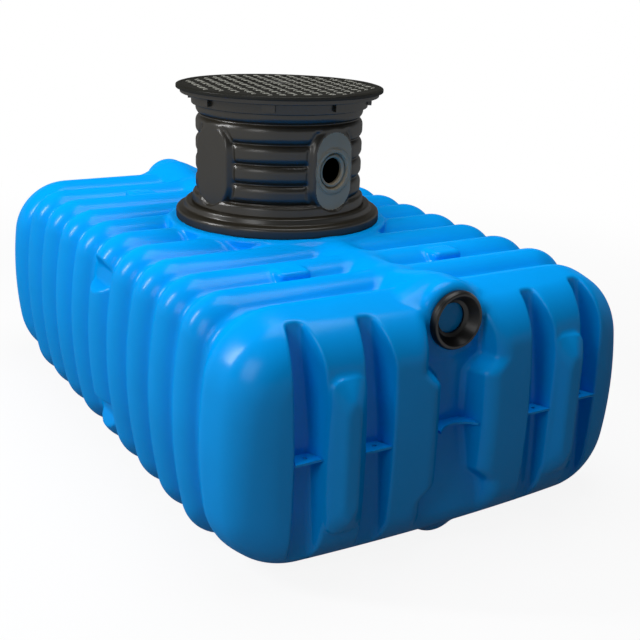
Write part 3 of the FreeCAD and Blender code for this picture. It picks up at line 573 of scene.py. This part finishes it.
wall = np.where(beside_pad < 0.0, flat, wall)
outside = np.stack([wall * np.cos(angle), wall * np.sin(angle), level], -1)
angle_in, level_in = np.meshgrid(
    around, (NECK_TOP, SEAL_HEIGHT + SEAL_HOLE, SEAL_HEIGHT - SEAL_HOLE, STEP_FOOT))
inside = np.stack([SHAFT * np.cos(angle_in), SHAFT * np.sin(angle_in), level_in], -1)
rows = np.concatenate([outside, inside])
kept = np.ones(rows.shape[:2], dtype=bool)
kept[:len(outside)] = ~(at_front & (np.hypot(across, level - SEAL_HEIGHT) < SEAL_HOLE))
kept[len(outside) + 1] = ~(at_front & (abs(across) < SEAL_HOLE))[0]
on_pad = np.zeros(rows.shape[:2], dtype=bool)
on_pad[:len(outside)] = at_front & (beside_pad < -PAD_MARGIN)
neck = ring_grid("neck_tube", rows, kept)
neck.data.polygons.foreach_set("material_index", on_pad[kept].astype(np.int32))

# Paler grey polyethylene of the pad that carries the pipe seal: matt, with the same grain.
PALE_PATCH = 125.0
pale_plastic, tree = new_material("moulded_polyethylene_mid_grey")
place = add_node(tree, "ShaderNodeTexCoord", {}).outputs["Object"]
tone = add_node(tree, "ShaderNodeTexNoise", {
    "Vector": place, "Scale": 1000.0 / PALE_PATCH, "Detail": 3.0})
shade = add_node(tree, "ShaderNodeValToRGB", {"Fac": tone.outputs["Fac"]})
shade.color_ramp.elements[0].color = linear("#968A74")
shade.color_ramp.elements[1].color = linear("#A0947E")
grain = add_node(tree, "ShaderNodeTexNoise", {
    "Vector": place, "Scale": 1000.0 / GREY_GRAIN, "Detail": 2.0})
relief = add_node(tree, "ShaderNodeBump", {
    "Height": grain.outputs["Fac"], "Strength": 0.1, "Distance": 0.0005})
surface = add_node(tree, "ShaderNodeBsdfPrincipled", {
    "Base Color": shade.outputs["Color"], "Roughness": 0.45, "IOR": 1.5,
    "Specular IOR Level": 0.2, "Normal": relief.outputs["Normal"]})
add_node(tree, "ShaderNodeOutputMaterial", {"Surface": surface.outputs["BSDF"]})

neck.data.materials.append(grey_plastic)
neck.data.materials.append(pale_plastic)
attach(neck, "root")
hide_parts("neck_front", "neck_right", "neck_back", "neck_left")


# Neck seal: a flat ring in the front pad's paler grey, pressed into that pad from outside, with a
# fine groove near its rim and a step down to a raised lip round the hole.
neck_seal = turned("neck_seal_ring", rounded([
    (48, -24, 0), (89, -24, 0), (89, 1, 0), (86, 1, 1), (84, -6, 1), (82, 2, 1), (69, 2, 2),
    (65, -15, 2), (62, -15, 1), (60, -5, 3), (52, -5, 3), (48, -11, 1)]), SEAL_AROUND)
outward = Vector((math.sin(NECK_TURN), -math.cos(NECK_TURN), 0.0))
on_face = outward * PAD_FACE / 1000.0 + Vector((0.0, 0.0, SEAL_HEIGHT / 1000.0))
neck_seal.data.transform(
    Matrix.Translation(on_face) @ outward.to_track_quat("Z", "Y").to_matrix().to_4x4())
neck_seal.data.materials.append(pale_plastic)
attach(neck_seal, "root")
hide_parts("neck_seal")


# Collar and lugs: a flat ring with a skirt, pushed over the top of the neck to carry the lid, and
# the lugs under its edge for the lid's locking parts, all in the neck's dark grey polyethylene.
collar = turned("neck_collar_ring", rounded([
    (SHAFT, 1324, 0), (327, 1324, 2), (327, 1286, 2), (341, 1286, 4), (344, 1327, 2),
    (384, 1327, 3), (384, 1346, 1), (SHAFT, 1346, 0)]))
collar.data.materials.append(grey_plastic)
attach(collar, "root")
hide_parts("neck_collar")
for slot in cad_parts["collar_lugs"].material_slots:
    slot.material = grey_plastic


# Lid: a loose round cover of near-black polyethylene that lies on the collar. Its top has rows of
# raised lozenges, turned crosswise by turns, that give a foot some grip.

# Near-black polyethylene, moulded rough: little shine, blotches of wear a hand wide, and a grain
# drawn 4 mm wide, coarser than the real one, so that it shows.
WEAR_PATCH = 111.0
LID_GRAIN = 4.0
black_plastic, tree = new_material("moulded_polyethylene_black")
place = add_node(tree, "ShaderNodeTexCoord", {}).outputs["Object"]
wear = add_node(tree, "ShaderNodeTexNoise", {
    "Vector": place, "Scale": 1000.0 / WEAR_PATCH, "Detail": 5.0})
shade = add_node(tree, "ShaderNodeValToRGB", {"Fac": wear.outputs["Fac"]})
shade.color_ramp.elements[0].color = linear("#1A1A17")
shade.color_ramp.elements[1].color = linear("#23231F")
grain = add_node(tree, "ShaderNodeTexNoise", {
    "Vector": place, "Scale": 1000.0 / LID_GRAIN, "Detail": 2.0})
relief = add_node(tree, "ShaderNodeBump", {
    "Height": grain.outputs["Fac"], "Strength": 0.15, "Distance": 0.0006})
surface = add_node(tree, "ShaderNodeBsdfPrincipled", {
    "Base Color": shade.outputs["Color"], "Roughness": 0.42, "IOR": 1.5,
    "Specular IOR Level": 0.0, "Coat Weight": 0.05, "Coat Roughness": 0.35, "Coat IOR": 3.0,
    "Normal": relief.outputs["Normal"], "Coat Normal": relief.outputs["Normal"]})
add_node(tree, "ShaderNodeOutputMaterial", {"Surface": surface.outputs["BSDF"]})

# The same polyethylene on the lozenges, painted paler all over as a painted highlight for the light
# that their raised sides catch, and smoother on their tops.
TREAD_TONE_PATCH = 33.0
tread_highlight_plastic, tree = new_material("polyethylene_grey_painted_highlight")
place = add_node(tree, "ShaderNodeTexCoord", {}).outputs["Object"]
tread_tone = add_node(tree, "ShaderNodeTexNoise", {
    "Vector": place, "Scale": 1000.0 / TREAD_TONE_PATCH, "Detail": 4.0})
shade = add_node(tree, "ShaderNodeValToRGB", {"Fac": tread_tone.outputs["Fac"]})
shade.color_ramp.elements[0].color = linear("#5E5E57")
shade.color_ramp.elements[1].color = linear("#84847B")
surface = add_node(tree, "ShaderNodeBsdfPrincipled", {
    "Base Color": shade.outputs["Color"], "Roughness": 0.34, "IOR": 1.5})
add_node(tree, "ShaderNodeOutputMaterial", {"Surface": surface.outputs["BSDF"]})

# The tread: a square grid of points cut to the lid, with a flattened ball on each point that lies
# along one diagonal or the other by turns.
TREAD_CELLS = 17
tread = bpy.data.node_groups.new("tread_lozenges", "GeometryNodeTree")
for name, value in (
        ("Lid radius", 0.366), ("Pitch", 0.047), ("Turn", math.radians(-11.0)), ("Level", 1.358),
        ("Lozenge length", 0.032), ("Lozenge width", 0.011), ("Lozenge height", 0.008)):
    socket = tread.interface.new_socket(name, in_out="INPUT", socket_type="NodeSocketFloat")
    socket.default_value = value
tread.interface.new_socket("Mesh", in_out="OUTPUT", socket_type="NodeSocketGeometry")
size = add_node(tread, "NodeGroupInput", {}).outputs
span = add_node(tread, "ShaderNodeMath", {
    0: size["Pitch"], 1: TREAD_CELLS - 1.0}, operation="MULTIPLY").outputs[0]
crossings = add_node(tread, "GeometryNodeMeshGrid", {
    "Size X": span, "Size Y": span, "Vertices X": TREAD_CELLS, "Vertices Y": TREAD_CELLS})
where = add_node(tread, "GeometryNodeInputPosition", {}).outputs[0]
far = add_node(tread, "ShaderNodeVectorMath", {0: where}, operation="LENGTH").outputs["Value"]
off_lid = add_node(tread, "FunctionNodeCompare", {
    0: far, 1: size["Lid radius"]}, operation="GREATER_THAN")
on_lid = add_node(tread, "GeometryNodeDeleteGeometry", {
    "Geometry": crossings.outputs["Mesh"], "Selection": off_lid.outputs[0]})
pitches = add_node(tread, "ShaderNodeCombineXYZ", {
    "X": size["Pitch"], "Y": size["Pitch"], "Z": 1.0})
cell = add_node(tread, "ShaderNodeVectorMath", {
    0: where, 1: pitches.outputs[0]}, operation="DIVIDE")
row = add_node(tread, "ShaderNodeSeparateXYZ", {0: cell.outputs[0]}).outputs
row_sum = add_node(tread, "ShaderNodeMath", {0: row["X"], 1: row["Y"]}, operation="ADD")
even = add_node(tread, "ShaderNodeMath", {
    0: row_sum.outputs[0], 1: 2.0}, operation="FLOORED_MODULO")
whole = add_node(tread, "ShaderNodeMath", {0: even.outputs[0]}, operation="ROUND")
quarter_turn = add_node(tread, "ShaderNodeMath", {
    0: whole.outputs[0], 1: math.pi / 2}, operation="MULTIPLY")
slant = add_node(tread, "ShaderNodeMath", {
    0: quarter_turn.outputs[0], 1: math.pi / 4}, operation="ADD")
bearing = add_node(tread, "ShaderNodeCombineXYZ", {"Z": slant.outputs[0]})
ball = add_node(tread, "GeometryNodeMeshUVSphere", {"Segments": 10, "Rings": 6, "Radius": 0.5})
stretch = add_node(tread, "ShaderNodeCombineXYZ", {
    "X": size["Lozenge length"], "Y": size["Lozenge width"], "Z": size["Lozenge height"]})
spread = add_node(tread, "GeometryNodeInstanceOnPoints", {
    "Points": on_lid.outputs[0], "Instance": ball.outputs["Mesh"],
    "Rotation": bearing.outputs[0], "Scale": stretch.outputs[0]})
raised = add_node(tread, "ShaderNodeCombineXYZ", {"Z": size["Level"]})
row_turn = add_node(tread, "ShaderNodeCombineXYZ", {"Z": size["Turn"]})
laid = add_node(tread, "GeometryNodeTransform", {
    "Geometry": spread.outputs[0], "Translation": raised.outputs[0],
    "Rotation": row_turn.outputs[0]})
real = add_node(tread, "GeometryNodeRealizeInstances", {"Geometry": laid.outputs[0]})
smooth = add_node(tread, "GeometryNodeSetShadeSmooth", {"Geometry": real.outputs[0]})
# The lozenges take the paler grey: a painted highlight.
painted = add_node(tread, "GeometryNodeSetMaterial", {
    "Geometry": smooth.outputs[0], "Material": tread_highlight_plastic})
add_node(tread, "NodeGroupOutput", {"Mesh": painted.outputs[0]})


def grown(name, group):
    """A plain mesh from what a node tree makes."""
    seed = bpy.data.objects.new(name + "_seed", bpy.data.meshes.new(name + "_seed"))
    bpy.context.collection.objects.link(seed)
    seed.modifiers.new("grow", "NODES").node_group = group
    result = seed.evaluated_get(bpy.context.evaluated_depsgraph_get())
    piece = bpy.data.objects.new(name, bpy.data.meshes.new_from_object(result))
    bpy.context.collection.objects.link(piece)
    bpy.data.objects.remove(seed)
    return piece


lozenges = grown("lid_tread", tread)
LID_RADIUS = 400.0
cover = turned("lid_cover", rounded([
    (2, 1347, 0), (390, 1347, 2), (392, 1344, 2), (LID_RADIUS, 1344, 3), (LID_RADIUS, 1357, 4),
    (386, 1361, 2), (380, 1358, 2), (2, 1358, 0)]))
cover.data.materials.append(black_plastic)
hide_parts("lid")
for piece in (lozenges, cover):
    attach(piece, "root")


# Studio: a plain pale floor that runs out white to the background, a narrow softbox high at the
# left and behind, a wide one overhead and a weak one at the front left. The camera stands where
# the photograph was taken.
FLOOR_SIZE = 600.0
FLOOR_LEVEL = -0.001
WHITE = (1.0, 1.0, 1.0, 1.0)


def background_rays(tree, ray):
    """Whether a ray shows the background: straight to the camera, or by gloss or glass."""
    either = add_node(tree, "ShaderNodeMath", {
        0: ray["Is Camera Ray"], 1: ray["Is Glossy Ray"]}, operation="MAXIMUM")
    shown = add_node(tree, "ShaderNodeMath", {
        0: either.outputs[0], 1: ray["Is Transmission Ray"]}, operation="MAXIMUM")
    return shown.outputs[0]


# Matt white paint: it takes the tank's soft shadow, shines of itself by more the further it lies
# from the tank, and is a mid grey to light that bounces, so that little of it reaches the tank.
floor_paint, tree = new_material("matt_white_paint")
ray = add_node(tree, "ShaderNodeLightPath", {}).outputs
shown = background_rays(tree, ray)
place = add_node(tree, "ShaderNodeTexCoord", {}).outputs["Object"]
away = add_node(tree, "ShaderNodeVectorMath", {0: place}, operation="LENGTH").outputs["Value"]
white = add_node(tree, "ShaderNodeMapRange", {
    "Value": away, "From Min": 1.8, "From Max": 5.0, "To Min": 0.9, "To Max": 1.0},
    interpolation_type="SMOOTHSTEP")
share = add_node(tree, "ShaderNodeMath", {
    0: shown, 1: white.outputs["Result"]}, operation="MULTIPLY")
paint = add_node(tree, "ShaderNodeMix", {
    "Factor": ray["Is Camera Ray"], "A": linear("#7C7C7C"), "B": linear("#F0F0F0")},
    data_type="RGBA")
matt = add_node(tree, "ShaderNodeBsdfDiffuse", {"Color": paint.outputs[2]})
glow = add_node(tree, "ShaderNodeEmission", {"Color": WHITE, "Strength": 1.0})
mixed = add_node(tree, "ShaderNodeMixShader", {
    0: share.outputs[0], 1: matt.outputs[0], 2: glow.outputs[0]})
add_node(tree, "ShaderNodeOutputMaterial", {"Surface": mixed.outputs[0]})
bpy.ops.mesh.primitive_plane_add(size=FLOOR_SIZE, location=(0.0, 0.0, FLOOR_LEVEL))
studio_floor = bpy.context.object
studio_floor.name = "studio_floor"
studio_floor.data.materials.append(floor_paint)

# The air: white to the eye at the horizon and dim higher up, with a weak even light of its own.
AIR_LIGHT = 0.11
world = bpy.data.worlds.new("studio_air")
bpy.context.scene.world = world
world.use_nodes = True
tree = world.node_tree
tree.nodes.clear()
shown = background_rays(tree, add_node(tree, "ShaderNodeLightPath", {}).outputs)
way = add_node(tree, "ShaderNodeTexCoord", {}).outputs["Generated"]
height = add_node(tree, "ShaderNodeSeparateXYZ", {0: way}).outputs["Z"]
sweep = add_node(tree, "ShaderNodeMapRange", {
    "Value": height, "From Min": 0.14, "From Max": 0.34, "To Min": 1.0, "To Max": 0.16},
    interpolation_type="SMOOTHSTEP")
weak = add_node(tree, "ShaderNodeMix", {0: shown, 2: AIR_LIGHT, 3: sweep.outputs["Result"]})
sky = add_node(tree, "ShaderNodeBackground", {"Color": WHITE, "Strength": weak.outputs[0]})
add_node(tree, "ShaderNodeOutputWorld", {"Surface": sky.outputs[0]})

for name, place, aim, width, depth, power in (
        ("softbox_left", (-4.2, 1.4, 3.4), (0.0, -0.1, 0.5), 0.3, 2.0, 145.0),
        ("softbox_top", (0.3, -0.2, 4.6), (0.0, 0.0, 0.6), 3.0, 3.0, 130.0),
        ("softbox_front", (-3.6, -2.3, 2.6), (0.0, -1.2, 0.5), 1.6, 1.6, 36.0)):
    lamp = bpy.data.lights.new(name, "AREA")
    lamp.shape = "RECTANGLE"
    lamp.size, lamp.size_y, lamp.energy = width, depth, power
    stand = bpy.data.objects.new(name, lamp)
    bpy.context.collection.objects.link(stand)
    stand.location = place
    stand.rotation_euler = (Vector(aim) - stand.location).to_track_quat("-Z", "Y").to_euler()

CAMERA_PLACE = (-1.9378, -3.5391, 1.7859)
YAW, PITCH, ROLL = 0.5469, -0.3301, 0.0343
FOCAL_PIXELS = 1024.4
FRAME_PIXELS = 640.0
SENSOR_WIDTH = 36.0
ahead = Vector((math.sin(YAW) * math.cos(PITCH), math.cos(YAW) * math.cos(PITCH), math.sin(PITCH)))
right = Vector((math.cos(YAW), -math.sin(YAW), 0.0))
tilted = math.cos(ROLL) * right + math.sin(ROLL) * right.cross(ahead)
upward = tilted.cross(ahead)
camera = bpy.data.objects.new("camera", bpy.data.cameras.new("camera"))
camera.data.sensor_width = SENSOR_WIDTH
camera.data.lens = SENSOR_WIDTH * FOCAL_PIXELS / FRAME_PIXELS
turn = Matrix((tilted, upward, -ahead)).transposed().to_4x4()
camera.matrix_world = Matrix.Translation(CAMERA_PLACE) @ turn
bpy.context.collection.objects.link(camera)
bpy.context.scene.camera = camera
bpy.context.scene.view_settings.view_transform = "Standard"
